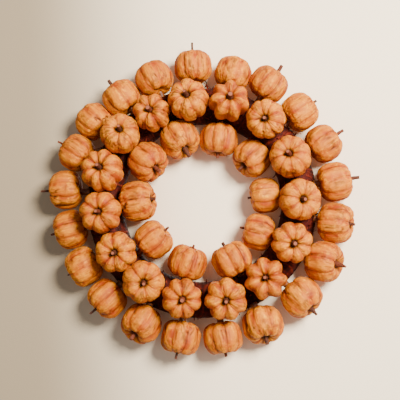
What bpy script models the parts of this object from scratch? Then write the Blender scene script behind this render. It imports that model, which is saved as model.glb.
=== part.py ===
"""Harvest door wreath: small papery pumpkins in three rows on a paper-wrapped, flat-backed wreath form.

Metres, +Z up, front towards -Y. The origin is where a nail or hook carries the wire eye, in the plane of the
door: the wreath hangs below it and its flat back lies on the plane y = 0.
"""

import math

import bmesh
import bpy
from mathutils import Matrix, Vector

MM = 0.001

# Wreath form: a flat-backed foam ring, 16 inches across.
FORM_DIAMETER = 406 * MM
FORM_WIDTH = 60 * MM
FORM_DEPTH = 40 * MM
FORM_SIDE = 12 * MM  # straight side wall behind the rounded front
FORM_STEPS = 40  # facets round the ring
FRONT_STEPS = 6  # facets over the rounded front

# Paper wound round the form, closed along a seam on the back.
WRAP_THICKNESS = 1.5 * MM
WRAP_SEAM = 4 * MM
GAP = 0.4 * MM  # air between pieces that touch

# Hanger: one bent wire, an eye above the form and two legs pushed into it.
WIRE_DIAMETER = 1.6 * MM
EYE_RADIUS = 8 * MM  # to the middle of the wire
EYE_NECK = 1.5 * MM  # from the wrap up to the eye
EYE_STEPS = 18
LEG_SPACING = 5 * MM
LEG_DEPTH = 26 * MM  # length of each leg inside the form
LEG_COVER = 2.3 * MM  # foam behind a leg's hole
LEG_CLEARANCE = 0.5 * MM

# A pumpkin: flattened and ribbed, with a hollow at each end. Its ribs are every other facet.
SQUATNESS = 0.8  # height over diameter
ROUNDNESS = 0.75  # under 1 fills the shoulders out
BANDS = 6  # facets from the top hollow to the bottom one
BAND_SHIFT = math.radians(4)
TOP_HOLLOW = 6 * MM
BOTTOM_HOLLOW = 4 * MM

# Its twig stem, and the bead of hot glue that holds it to the wrap.
STEM_ROOT = 5 * MM
STEM_TAPER = (1.35, 0.95, 0.85)  # of its girth, at the root, the middle and the tip
BEAD_DIAMETER = 11 * MM
BEAD_SPREAD = 1.25

# Rows. An average pumpkin fills this much of its row's pitch, so the rows stay full on a form of any size.
ROW_FILL = 0.97
FRONT_ROW_SHIFT = 2 * MM  # from the ring's middle circle outwards
FRONT_ROW_GAP = 3 * MM  # from the wrap to the pumpkins
OUTER_ROW_GAP = 5 * MM
INNER_ROW_GAP = 1 * MM
DOOR_GAP = 3.2 * MM  # from the door to the pumpkins of the two side rows
OUTER_ROW_SPACING = 1.041  # least distance from the front row's middle, over the two rows' average diameter
INNER_ROW_SPACING = 1.0428

# Planting lists, clockwise from the top as seen from the front. Each pumpkin: clock angle in degrees, shift
# away from the wreath's centre, shift to the front and diameter, all in per cent of the row's pitch, lean and
# swing of the stem in degrees, ribs, rib depth in per cent of the radius, then its bare stem's length in mm,
# bend in degrees and girth in mm. Lean is towards the front on the side rows and away from the centre on the
# front row, and swing is clockwise.
FIELDS = ("clock", "out", "front", "share", "lean", "swing", "ribs", "rib_depth", "stem", "bend", "girth")
OUTER_ROW = (
    (-3.4, 3.8, 0, 95, -4, 0, 8, 7, 18, 3, 4.5),
    (13.9, -6, 0, 93, -14, 2, 7, 6, 3, 0, 5),
    (30, 0.3, 2.8, 96, 0, 8, 8, 6, 14, 16, 7.5),
    (48, -5.9, 0, 95, -10, 6, 8, 5, 10, 10, 5.5),
    (65, -1.5, 1.4, 95, -2, -10, 7, 5, 15, 6, 6.5),
    (82, -3.3, 0, 99, -2, -4, 8, 7, 15, -8, 7),
    (99.5, -6.3, 0, 102, 20, -4, 8, 8, 5, 8, 6),
    (116.5, -8.9, 0, 102, 32, -14, 7, 6, 16, -22, 10),
    (134, 0.3, 0, 102, 18, 6, 7, 7, 12, 16, 9.5),
    (153.5, -4.4, 0, 101, 24, 14, 8, 7, 8, 6, 8),
    (171, 3.8, 0, 96, 4, 0, 8, 7, 6, 10, 6),
    (188.5, 1.5, 1.4, 98, 8, 4, 8, 8, 10, -6, 5),
    (206, -8.3, 0, 100, 32, 6, 7, 7, 8, 4, 8),
    (224, -3.4, 0, 98, 12, 2, 7, 8, 12, 8, 4.5),
    (241, -3, 0, 97, 2, -2, 7, 6, 5, -16, 5),
    (258, -3.1, 1.4, 96, 0, -3, 8, 6, 9, -6, 4.5),
    (275, 3.1, 0, 97, 0, -8, 8, 6, 17, 2, 4.5),
    (291.5, -1, 1.4, 93, -8, 12, 7, 6, 15, 14, 4.5),
    (306.8, 0.9, 0, 93, -14, 4, 7, 6, 3, 0, 5),
    (322.5, -5.8, 2.8, 95, -2, 0, 7, 6, 13, -8, 7),
    (339, -8, 0, 97, -14, -6, 7, 6, 3, 0, 5),
)
FRONT_ROW = (
    (-6.5, -1.4, -2.7, 98, 14, -6, 8, 6, 8, 8, 8),
    (16.5, 2.7, -0.6, 98, 12, 2, 7, 13, 5, 0, 10),
    (39.5, 5.5, -1.5, 96, -10, -1, 9, 6, 7, 10, 7),
    (65, -5.5, -0.3, 99, -4, -10, 9, 5, 8, 6, 8),
    (90.5, -5.5, -1.8, 99, 11, 3, 8, 5, 7, 4, 8),
    (115.5, -2.7, -0.3, 98, 10, 4, 8, 8, 9, 14, 9),
    (140.5, 1.4, -0.6, 101, -5, 0, 7, 12, 7, 6, 7),
    (165.5, 1.4, -0.8, 102, 6, 0, 7, 9, 8, 4, 8),
    (190.5, -4.1, -1.3, 96, 4, -8, 8, 8, 8, 10, 9),
    (214.5, -5.5, 0, 101, 0, -9, 7, 6, 8, 4, 7),
    (238, -6.8, -0.7, 99, 4, -4, 8, 7, 7, 4, 7.5),
    (262.5, -4.1, 2.3, 101, 4, 1, 7, 8, 8, 4, 7),
    (286.5, 1.4, -2, 102, 9, 8, 8, 9, 7, 0, 8),
    (309.5, 5.5, 4.7, 95, 5, 12, 7, 5, 8, 6, 7),
    (331, -2.7, -2.9, 91, 10, -3, 7, 10, 5, 0, 9),
)
INNER_ROW = (
    (341, 10, 5.7, 99, 26, -10, 8, 7, 13, -20, 9),
    (16, 2.2, 0, 96, 6, -12, 8, 7, 6, 4, 7),
    (50, 9.4, 2.8, 95, 26, -4, 8, 6, 8, 4, 6),
    (85, -2.2, 1.4, 91, 4, -4, 7, 7, 5, 6, 4.5),
    (118.5, 2.3, 1.4, 93, 0, -14, 8, 6, 7, 6, 4.5),
    (152.5, 5.7, 14.8, 99, 0, 0, 8, 8, 6, -10, 7),
    (192.5, -2.7, 0, 97, 6, 8, 8, 7, 5, 6, 5),
    (231, -7.8, 0, 96, 6, 0, 7, 5, 7, 16, 5),
    (270, 3, 0, 103, 13, -8, 8, 7, 4, 4, 6),
    (306.5, 13.4, 8.5, 100, 30, 3, 8, 8, 8, 4, 8),
)

ROWS = {"outer": OUTER_ROW, "front": FRONT_ROW, "inner": INNER_ROW}

MATERIALS = {  # base colour, roughness, metallic
    "pumpkin_paper": ((0.80, 0.33, 0.07, 1), 0.62, 0.0),
    "brown_paper": ((0.07, 0.018, 0.012, 1), 0.5, 0.0),
    "form_foam": ((0.55, 0.50, 0.40, 1), 0.9, 0.0),
    "brown_wire": ((0.10, 0.07, 0.05, 1), 0.4, 0.8),
}

WRAP_GROWTH = GAP + WRAP_THICKNESS
WRAP_OUTER_RADIUS = FORM_DIAMETER / 2 + WRAP_GROWTH
WRAP_INNER_RADIUS = FORM_DIAMETER / 2 - FORM_WIDTH - WRAP_GROWTH
WRAP_FRONT = FORM_DEPTH + 2 * WRAP_GROWTH
RING_RADIUS = (FORM_DIAMETER - FORM_WIDTH) / 2
LEG_HOLE_RADIUS = WIRE_DIAMETER / 2 + LEG_CLEARANCE
WIRE_SETBACK = WRAP_GROWTH + LEG_COVER + LEG_HOLE_RADIUS  # the wire's middle in front of the door
EYE_CENTRE = WRAP_OUTER_RADIUS + EYE_NECK + EYE_RADIUS + WIRE_DIAMETER / 2
HANG_DROP = EYE_CENTRE + EYE_RADIUS - WIRE_DIAMETER / 2  # from the nail down to the wreath's centre
TOWARDS_FRONT = Vector((0, -1, 0))


# ---- scene, collections and materials ----


def clear_scene():
    for obj in list(bpy.data.objects):
        bpy.data.objects.remove(obj)


def new_collection(name):
    collection = bpy.data.collections.new(name)
    bpy.context.scene.collection.children.link(collection)
    return collection


def new_material(name):
    colour, roughness, metallic = MATERIALS[name]
    material = bpy.data.materials.new(name)
    material.use_nodes = True
    shader = material.node_tree.nodes["Principled BSDF"]
    shader.inputs["Base Color"].default_value = colour
    shader.inputs["Roughness"].default_value = roughness
    shader.inputs["Metallic"].default_value = metallic
    material.diffuse_color = colour
    return material


def new_object(name, data, collection, centre, material=None):
    obj = bpy.data.objects.new(name, data)
    collection.objects.link(obj)
    obj.parent = centre
    if material:
        data.materials.append(material)
    return obj


def hide_helper(obj):
    obj.hide_render = True
    obj.display_type = "WIRE"


def boolean(obj, other, operation):
    modifier = obj.modifiers.new(operation.lower() + "_" + other.name, "BOOLEAN")
    modifier.operation = operation
    modifier.solver = "EXACT"
    modifier.object = other


def mesh_of_bmesh(name, bm):
    bmesh.ops.recalc_face_normals(bm, faces=bm.faces)
    mesh = bpy.data.meshes.new(name)
    bm.to_mesh(mesh)
    bm.free()
    mesh.shade_smooth()
    mesh.set_sharp_from_angle(angle=math.radians(35))
    return mesh


def wire_curve(name, points, radius, shares, resolution):
    """A tube with filled caps along the points, its radius times each point's share."""
    curve = bpy.data.curves.new(name, "CURVE")
    curve.dimensions = "3D"
    curve.bevel_depth = radius
    curve.bevel_resolution = resolution
    curve.use_fill_caps = True
    spline = curve.splines.new("POLY")
    spline.points.add(len(points) - 1)
    for point, place, share in zip(spline.points, points, shares):
        point.co = (*place, 1)
        point.radius = share
    return curve


def mesh_of_curve(curve):
    """The same tube as a closed mesh, for a Boolean to use."""
    obj = bpy.data.objects.new(curve.name + "_curve", curve)
    bpy.context.scene.collection.objects.link(obj)
    graph = bpy.context.evaluated_depsgraph_get()
    bm = bmesh.new()
    bm.from_mesh(bpy.data.meshes.new_from_object(obj.evaluated_get(graph)))
    bmesh.ops.remove_doubles(bm, verts=bm.verts, dist=0.01 * MM)
    bpy.data.objects.remove(obj)
    return mesh_of_bmesh(curve.name, bm)


# ---- the form and its paper wrap ----


def front_arc(growth, steps):
    """The section's rounded front as (radius, depth before the door), from the outer side to the inner one."""
    half_width = FORM_WIDTH / 2 + growth
    rise = FORM_DEPTH - FORM_SIDE + growth
    base = FORM_SIDE + WRAP_GROWTH
    angles = [math.pi * i / steps for i in range(steps + 1)]
    return [(RING_RADIUS + half_width * math.cos(a), base + rise * math.sin(a)) for a in angles]


def section(growth):
    """The ring's section grown by growth, from the outer corner at the back over the front to the inner one."""
    arc = front_arc(growth, FRONT_STEPS)
    back = WRAP_GROWTH - growth
    return [(arc[0][0], back), *arc, (arc[-1][0], back)]


def skin_section():
    """The paper's section: its outer face, then its inner face back again, open at the seam."""
    edges = (RING_RADIUS + WRAP_SEAM / 2, RING_RADIUS - WRAP_SEAM / 2)
    outside = [(edges[0], 0), *section(WRAP_GROWTH), (edges[1], 0)]
    inside = [(edges[0], WRAP_THICKNESS), *section(GAP), (edges[1], WRAP_THICKNESS)]
    return outside + inside[::-1]


def turned_ring(name, outline, parts, centre, material):
    """The outline turned round the wreath's axis, with its back towards the door."""
    bm = bmesh.new()
    verts = [bm.verts.new((radius, 0, -depth)) for radius, depth in outline]
    for a, b in zip(verts, verts[1:] + verts[:1]):
        bm.edges.new((a, b))
    mesh = bpy.data.meshes.new(name)
    bm.to_mesh(mesh)
    bm.free()
    ring = new_object(name, mesh, parts, centre, material)
    ring.matrix_basis = Matrix.Rotation(-math.pi / 2, 4, "X")
    screw = ring.modifiers.new("turn", "SCREW")
    screw.axis = "Z"
    screw.steps = FORM_STEPS
    screw.render_steps = FORM_STEPS
    screw.use_merge_vertices = True
    screw.merge_threshold = 0.05 * MM
    return ring


def leg_cutters(helpers, centre):
    """Two round cutters for the hanger's legs, through the wrap and into the form."""
    bottom = WRAP_OUTER_RADIUS - LEG_DEPTH - LEG_CLEARANCE
    top = WRAP_OUTER_RADIUS + EYE_NECK
    cutters = []
    for side, name in ((-1, "leg_hole_left"), (1, "leg_hole_right")):
        bm = bmesh.new()
        bmesh.ops.create_cone(
            bm, cap_ends=True, segments=8, radius1=LEG_HOLE_RADIUS, radius2=LEG_HOLE_RADIUS, depth=top - bottom
        )
        cutter = new_object(name, mesh_of_bmesh(name, bm), helpers, centre)
        cutter.location = (side * LEG_SPACING / 2, -WIRE_SETBACK, (bottom + top) / 2)
        hide_helper(cutter)
        cutters.append(cutter)
    return cutters


def make_form_and_wrap(parts, helpers, centre, materials):
    form = turned_ring("wreath_form", section(0), parts, centre, materials["form_foam"])
    wrap = turned_ring("paper_wrap", skin_section(), parts, centre, materials["brown_paper"])
    for cutter in leg_cutters(helpers, centre):
        boolean(form, cutter, "DIFFERENCE")
        boolean(wrap, cutter, "DIFFERENCE")


def make_hanger(parts, centre, materials):
    """One wire: up from the first leg, round the eye and down the second leg."""
    half = LEG_SPACING / 2
    opening = math.asin(half / EYE_RADIUS)
    sweep = 2 * (math.pi - opening)
    turns = [math.pi + opening + sweep * i / EYE_STEPS for i in range(EYE_STEPS + 1)]
    eye = [(EYE_RADIUS * math.sin(a), -WIRE_SETBACK, EYE_CENTRE + EYE_RADIUS * math.cos(a)) for a in turns]
    foot = WRAP_OUTER_RADIUS - LEG_DEPTH
    points = [(-half, -WIRE_SETBACK, foot), *eye, (half, -WIRE_SETBACK, foot)]
    curve = wire_curve("hanger_wire", points, WIRE_DIAMETER / 2, [1] * len(points), resolution=2)
    new_object("hanger_wire", curve, parts, centre, materials["brown_wire"])


# ---- a pumpkin ----


def band_profile(polar):
    """How far out and up a band of the body lies, as shares of its radius and of half its height."""
    band = polar - BAND_SHIFT * math.sin(2 * polar)
    shoulder = math.pi / BANDS - BAND_SHIFT * math.sin(2 * math.pi / BANDS)
    crest = math.cos(shoulder) ** ROUNDNESS
    up = math.copysign(abs(math.cos(band)) ** ROUNDNESS, math.cos(band))
    return math.sin(band) ** ROUNDNESS, up / crest


def body_mesh(name, spec):
    """A sphere's bands pushed into a pumpkin, with a rib at every other facet."""
    radius = spec["diameter"] / 2
    half_height = radius * SQUATNESS
    bm = bmesh.new()
    bmesh.ops.create_uvsphere(bm, u_segments=2 * spec["ribs"], v_segments=BANDS, radius=1)
    for vert in bm.verts:
        if math.hypot(vert.co.x, vert.co.y) < 0.01:
            vert.co.z = half_height - TOP_HOLLOW if vert.co.z > 0 else BOTTOM_HOLLOW - half_height
            continue
        out, up = band_profile(math.acos(vert.co.z))
        turn = math.atan2(vert.co.y, vert.co.x)
        valley = round(turn * spec["ribs"] / math.pi) % 2
        reach = radius * out * (1 - valley * spec["rib_depth"] * (1.6 - 0.6 * out))
        vert.co = (reach * math.cos(turn), reach * math.sin(turn), half_height * up)
    return mesh_of_bmesh(name, bm)


def stem_mesh(name, spec):
    """A twig that starts in the top hollow and bends to one side."""
    half_height = spec["diameter"] / 2 * SQUATNESS
    floor = half_height - TOP_HOLLOW
    bend = math.radians(spec["bend"])
    half_length = (spec["stem"] + TOP_HOLLOW) / 2
    middle = Vector((0, 0, floor + half_length))
    tip = middle + half_length * Vector((math.sin(bend), 0, math.cos(bend)))
    points = [(0, 0, floor - STEM_ROOT), middle, tip]
    return mesh_of_curve(wire_curve(name, points, spec["girth"] / 2, STEM_TAPER, resolution=1))


def bead_mesh(name, length):
    """The glue bead, from inside the pumpkin at z = 0 down to the wrap."""
    bm = bmesh.new()
    radius = BEAD_DIAMETER / 2
    bmesh.ops.create_cone(
        bm, cap_ends=True, segments=8, radius1=radius * BEAD_SPREAD, radius2=radius, depth=length
    )
    bmesh.ops.translate(bm, verts=bm.verts, vec=(0, 0, -length / 2))
    return mesh_of_bmesh(name, bm)


def bead_gap(row):
    """Air below a bead. The inner row's beads stand in the ring's hollow side, which curves up round them."""
    if row != "inner":
        return GAP
    foot_radius = BEAD_DIAMETER / 2 * BEAD_SPREAD
    facet_rise = WRAP_INNER_RADIUS * (1 - math.cos(math.pi / FORM_STEPS))
    return GAP + facet_rise + foot_radius**2 / (2 * WRAP_INNER_RADIUS)


# ---- the rows ----


def row_pitch(row, count):
    """Spacing of a row's pumpkins along the circle that their centres lie on."""
    if row == "front":
        return 2 * math.pi * (RING_RADIUS + FRONT_ROW_SHIFT) / count
    half_heights = math.pi * ROW_FILL * SQUATNESS / count  # as a share of the row's radius
    if row == "outer":
        radius = (WRAP_OUTER_RADIUS + OUTER_ROW_GAP) / (1 - half_heights)
    else:
        radius = (WRAP_INNER_RADIUS - INNER_ROW_GAP) / (1 + half_heights)
    return 2 * math.pi * radius / count


def average_diameter(row):
    return ROW_FILL * row_pitch(row, len(ROWS[row]))


def front_row_lift():
    """How far the side rows hold the front row off the wrap, where the form is narrow for such pumpkins."""
    front = average_diameter("front")
    resting = WRAP_FRONT + FRONT_ROW_GAP + SQUATNESS * front / 2
    lift = 0
    outer = ("outer", OUTER_ROW_GAP - FRONT_ROW_SHIFT, OUTER_ROW_SPACING)
    inner = ("inner", INNER_ROW_GAP + FRONT_ROW_SHIFT, INNER_ROW_SPACING)
    for row, gap, spacing in (outer, inner):
        side = average_diameter(row)
        across = FORM_WIDTH / 2 + WRAP_GROWTH + gap + SQUATNESS * side / 2
        apart = spacing * (front + side) / 2
        if apart > across:
            lift = max(lift, DOOR_GAP + side / 2 + math.sqrt(apart**2 - across**2) - resting)
    return lift


def reach_along(direction, axis, spec):
    """How far a pumpkin's body reaches from its centre, in either sense of the direction."""
    tilt = direction.angle(axis)
    radius = spec["diameter"] / 2
    power = 2 / (2 - ROUNDNESS)
    along, across = SQUATNESS * radius * abs(math.cos(tilt)), radius * abs(math.sin(tilt))
    return (along**power + across**power) ** (1 / power)


def place_of(row, spec):
    """A pumpkin's centre and the way its stem points, from the wreath's centre."""
    clock, lean, swing = (math.radians(spec[field]) for field in ("clock", "lean", "swing"))
    outward = Vector((math.sin(clock), 0, math.cos(clock)))
    clockwise = Vector((math.cos(clock), 0, -math.sin(clock)))
    if row == "front":
        axis = TOWARDS_FRONT + math.tan(lean) * outward + math.tan(swing) * clockwise
        radius = RING_RADIUS + FRONT_ROW_SHIFT
        depth = WRAP_FRONT + FRONT_ROW_GAP + reach_along(TOWARDS_FRONT, axis, spec) + front_row_lift()
    else:
        side = 1 if row == "outer" else -1
        heading = side * (math.cos(swing) * outward + math.sin(swing) * clockwise)
        axis = math.cos(lean) * heading + math.sin(lean) * TOWARDS_FRONT
        reach = reach_along(outward, axis, spec)
        if row == "outer":
            radius = WRAP_OUTER_RADIUS + OUTER_ROW_GAP + reach
        else:
            radius = WRAP_INNER_RADIUS - INNER_ROW_GAP - reach
        depth = DOOR_GAP + spec["diameter"] / 2
    middle = (radius + spec["out"]) * outward + (depth + spec["front"]) * TOWARDS_FRONT
    return middle, axis.normalized()


def foot_on_wrap(middle, row):
    """The end of a pumpkin's bead, just off the point of the wrap that is nearest to its centre."""
    outward = Vector((middle.x, 0, middle.z)).normalized()
    points = [radius * outward + depth * TOWARDS_FRONT for radius, depth in front_arc(WRAP_GROWTH, 180)]
    nearest = min(points, key=lambda point: (point - middle).length)
    return nearest + bead_gap(row) * (middle - nearest).normalized()


def make_pumpkin(name, row, spec, spin, parts, helpers, centre, materials):
    middle, axis = place_of(row, spec)
    placed = Matrix.Translation(middle) @ axis.to_track_quat("Z", "Y").to_matrix().to_4x4()
    placed = placed @ Matrix.Rotation(spin, 4, "Z")
    pumpkin = new_object(name, body_mesh(name, spec), parts, centre, materials["pumpkin_paper"])
    pumpkin.matrix_basis = placed

    stem = new_object(name + "_stem", stem_mesh(name + "_stem", spec), helpers, centre)
    stem.matrix_basis = placed
    down = middle - foot_on_wrap(middle, row)
    bead = new_object(name + "_bead", bead_mesh(name + "_bead", down.length), helpers, centre)
    bead.matrix_basis = Matrix.Translation(middle) @ down.to_track_quat("Z", "Y").to_matrix().to_4x4()
    for joined in (stem, bead):
        hide_helper(joined)
        boolean(pumpkin, joined, "UNION")


def make_row(row, parts, helpers, centre, materials):
    pitch = row_pitch(row, len(ROWS[row]))
    for i, values in enumerate(ROWS[row], start=1):
        spec = dict(zip(FIELDS, values))
        spec["diameter"] = pitch * spec["share"] / 100
        spec["rib_depth"] /= 100
        for field in ("out", "front"):
            spec[field] *= pitch / 100
        for field in ("stem", "girth"):
            spec[field] *= MM
        spin = math.radians(137.5 * i)
        make_pumpkin(f"pumpkin_{row}_{i:02d}", row, spec, spin, parts, helpers, centre, materials)


def main():
    clear_scene()
    parts = new_collection("harvest_wreath")
    helpers = new_collection("wreath_helpers")
    materials = {name: new_material(name) for name in MATERIALS}
    centre = bpy.data.objects.new("wreath_centre", None)
    parts.objects.link(centre)
    centre.location = (0, 0, -HANG_DROP)

    make_form_and_wrap(parts, helpers, centre, materials)
    make_hanger(parts, centre, materials)
    for row in ROWS:
        make_row(row, parts, helpers, centre, materials)


main()
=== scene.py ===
import math

import bmesh
import bpy
import numpy as np
from mathutils import Matrix, Vector
from mathutils.bvhtree import BVHTree


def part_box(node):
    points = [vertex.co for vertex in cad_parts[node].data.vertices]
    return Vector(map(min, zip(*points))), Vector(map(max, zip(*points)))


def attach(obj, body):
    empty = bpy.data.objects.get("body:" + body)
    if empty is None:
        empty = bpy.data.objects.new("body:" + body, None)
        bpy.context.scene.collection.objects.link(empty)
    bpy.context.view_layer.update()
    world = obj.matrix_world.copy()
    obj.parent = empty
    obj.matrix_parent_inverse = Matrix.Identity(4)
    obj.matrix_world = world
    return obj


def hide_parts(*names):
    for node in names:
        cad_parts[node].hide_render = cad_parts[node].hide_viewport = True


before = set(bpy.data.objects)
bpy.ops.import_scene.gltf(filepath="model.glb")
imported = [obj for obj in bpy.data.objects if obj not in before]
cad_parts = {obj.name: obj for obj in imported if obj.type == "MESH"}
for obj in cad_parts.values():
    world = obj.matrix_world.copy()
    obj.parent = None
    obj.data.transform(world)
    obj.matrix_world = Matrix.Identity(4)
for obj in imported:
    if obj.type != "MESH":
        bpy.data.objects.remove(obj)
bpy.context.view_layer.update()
millimetre = 0.001
print("frame loaded")


# Node trees


class Num:
    # A number socket that arithmetic can be written with.
    def __init__(self, tree, socket):
        self.tree, self.socket = tree, socket

    def calc(self, operation, *others):
        values = dict(enumerate((self, *others)))
        node = put(self.tree, "ShaderNodeMath", values, operation=operation)
        return Num(self.tree, node.outputs[0])

    def __add__(self, other):
        return self.calc("ADD", other)

    __radd__ = __add__

    def __sub__(self, other):
        return self.calc("SUBTRACT", other)

    def __rsub__(self, other):
        return self.calc("MULTIPLY_ADD", -1.0, other)

    def __mul__(self, other):
        return self.calc("MULTIPLY", other)

    __rmul__ = __mul__

    def __truediv__(self, other):
        return self.calc("DIVIDE", other)

    def ramp(self, low, high, start=0.0, end=1.0):
        inputs = {"Value": self, "From Min": low, "From Max": high, "To Min": start, "To Max": end}
        node = put(self.tree, "ShaderNodeMapRange", inputs, interpolation_type="SMOOTHSTEP")
        return Num(self.tree, node.outputs[0])


def feed(tree, socket, value):
    value = value.socket if isinstance(value, Num) else value
    if isinstance(value, bpy.types.NodeSocket):
        tree.links.new(value, socket)
    else:
        socket.default_value = value


def put(tree, kind, inputs=None, **settings):
    node = tree.nodes.new(kind)
    for name, value in settings.items():
        setattr(node, name, value)
    for key, value in (inputs or {}).items():
        feed(tree, node.inputs[key], value)
    return node


def vector(tree, x, y, z):
    return put(tree, "ShaderNodeCombineXYZ", {"X": x, "Y": y, "Z": z}).outputs[0]


def parts(tree, value):
    node = put(tree, "ShaderNodeSeparateXYZ", {0: value})
    return [Num(tree, socket) for socket in node.outputs]


def move(tree, operation, a, b=None, scale=None):
    node = put(tree, "ShaderNodeVectorMath", operation=operation)
    feed(tree, node.inputs[0], a)
    if b is not None:
        feed(tree, node.inputs[1], b)
    if scale is not None:
        feed(tree, node.inputs["Scale"], scale)
    return node.outputs["Value"] if operation in ("LENGTH", "DOT_PRODUCT") else node.outputs[0]


def noise(tree, place, scale, detail=2.0, rough=0.5, seed=0.0, distortion=0.0):
    inputs = {
        "Vector": place, "W": seed, "Scale": scale,
        "Detail": detail, "Roughness": rough, "Distortion": distortion,
    }
    return Num(tree, put(tree, "ShaderNodeTexNoise", inputs, noise_dimensions="4D").outputs[0])


def lines(value, sharpness):
    # Thin lines where a noise crosses its middle value.
    return 1.0 - ((value - 0.5).calc("ABSOLUTE") * sharpness).calc("MINIMUM", 1.0)


def newTree(name, inputs, kind="GeometryNodeTree"):
    # None stands for a geometry, three numbers for a vector and four for a colour.
    tree = bpy.data.node_groups.new(name, kind)
    for label, value in inputs.items():
        if value is None:
            socketType = "NodeSocketGeometry"
        elif isinstance(value, tuple):
            socketType = "NodeSocketColor" if len(value) == 4 else "NodeSocketVector"
        else:
            socketType = "NodeSocketFloat"
        socket = tree.interface.new_socket(label, in_out="INPUT", socket_type=socketType)
        if value is not None:
            socket.default_value = value
    given = put(tree, "NodeGroupInput")
    taken = {}
    for label, value in inputs.items():
        socket = given.outputs[label]
        taken[label] = socket if value is None or isinstance(value, tuple) else Num(tree, socket)
    return tree, taken


def giveOut(tree, label, kind, value):
    tree.interface.new_socket(label, in_out="OUTPUT", socket_type="NodeSocket" + kind)
    feed(tree, put(tree, "NodeGroupOutput").inputs[0], value)


def positionOf(tree):
    return put(tree, "GeometryNodeInputPosition").outputs[0]


def normalOf(tree):
    return put(tree, "GeometryNodeInputNormal").outputs[0]


def setPoints(tree, geometry, way, value):
    # way is Position or Offset.
    return put(tree, "GeometryNodeSetPosition", {"Geometry": geometry, way: value}).outputs[0]


def store(tree, geometry, name, value, kind="FLOAT"):
    inputs = {"Geometry": geometry, "Name": name, "Value": value}
    settings = {"data_type": kind, "domain": "POINT"}
    return put(tree, "GeometryNodeStoreNamedAttribute", inputs, **settings).outputs[0]


def stored(tree, name):
    node = put(tree, "GeometryNodeInputNamedAttribute", {"Name": name}, data_type="FLOAT")
    return Num(tree, node.outputs[0])


def closeTree(tree, geometry, material):
    smooth = put(tree, "GeometryNodeSetShadeSmooth", {0: geometry})
    real = put(tree, "GeometryNodeRealizeInstances", {0: smooth.outputs[0]})
    inputs = {"Geometry": real.outputs[0], "Material": material}
    dressed = put(tree, "GeometryNodeSetMaterial", inputs)
    giveOut(tree, "Geometry", "Geometry", dressed.outputs[0])


def grow(name, tree, values=None, base=None, place=None):
    # The tree's result as a plain mesh object, at the origin.
    helper = bpy.data.objects.new(name + "Helper", base or bpy.data.meshes.new(name + "Helper"))
    bpy.context.scene.collection.objects.link(helper)
    modifier = helper.modifiers.new("grow", "NODES")
    modifier.node_group = tree
    for item in tree.interface.items_tree:
        if item.in_out == "INPUT" and item.name in (values or {}):
            modifier[item.identifier] = values[item.name]
    graph = bpy.context.evaluated_depsgraph_get()
    mesh = bpy.data.meshes.new_from_object(helper.evaluated_get(graph))
    bpy.data.objects.remove(helper)
    if place is not None:
        mesh.transform(place)
    mesh.name = name
    piece = bpy.data.objects.new(name, mesh)
    bpy.context.scene.collection.objects.link(piece)
    return piece


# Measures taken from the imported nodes


def trianglesOf(node):
    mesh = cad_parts[node].data
    mesh.calc_loop_triangles()
    points = np.array([vert.co for vert in mesh.vertices], float)
    return points, np.array([triangle.vertices for triangle in mesh.loop_triangles])


wrapPoints, wrapFaces = trianglesOf("paper_wrap")
wrapLow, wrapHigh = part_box("paper_wrap")
centreHeight = (wrapLow.z + wrapHigh.z) / 2
wrapRadii = np.hypot(wrapPoints[:, 0], wrapPoints[:, 2] - centreHeight)
ring = {
    "outer": wrapRadii.max(),
    "inner": wrapRadii.min(),
    "front": -wrapPoints[:, 1].min(),
}
ring["middle"] = (ring["outer"] + ring["inner"]) / 2
wrapTree = BVHTree.FromPolygons([Vector(p) for p in wrapPoints], wrapFaces.tolist())


# bands and rimShare are shares of a pumpkin's reach from its middle, crestShares and
# stemShare are shares of its radius, and tipDepth is in metres.
measure = {
    "reachPercent": 80,
    "bands": (0.16, 0.06, 0.02, 0.01),
    "rimShare": 0.75,
    "roundFits": 4,
    "crestShares": (0.45, 0.62),
    "stemShare": 0.5,
    "tipDepth": 0.0034,
}


def solidMiddle(points, faces):
    # The centre of volume, and the direction the solid is thinnest in.
    a, b, c = (points[faces[:, i]] for i in range(3))
    volumes = np.einsum("ij,ij->i", a, np.cross(b, c))
    centre = (volumes[:, None] * (a + b + c) / 4).sum(0) / volumes.sum()
    a, b, c = a - centre, b - centre, c - centre
    spread = sum(np.einsum("i,ij,ik->jk", volumes, p, p) for p in (a, b, c, a + b + c))
    return centre, np.linalg.eigh(spread / volumes.sum())[1][:, 0]


def findEquator(points, centre, axis):
    # The widest loop of points, found in ever thinner bands.
    reach = np.percentile(np.linalg.norm(points - centre, axis=1), measure["reachPercent"])
    for index, band in enumerate(measure["bands"]):
        local = points - centre
        up = local @ axis
        out = np.linalg.norm(local - up[:, None] * axis, axis=1)
        equator = points[(abs(up) < band * reach) & (out > measure["rimShare"] * reach)]
        if index == 0:
            centre = equator.mean(0)
        else:
            centre = centre + ((equator - centre) @ axis).mean() * axis
        axis = np.linalg.svd(equator - equator.mean(0))[2][2]
    return equator, centre, axis


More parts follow.
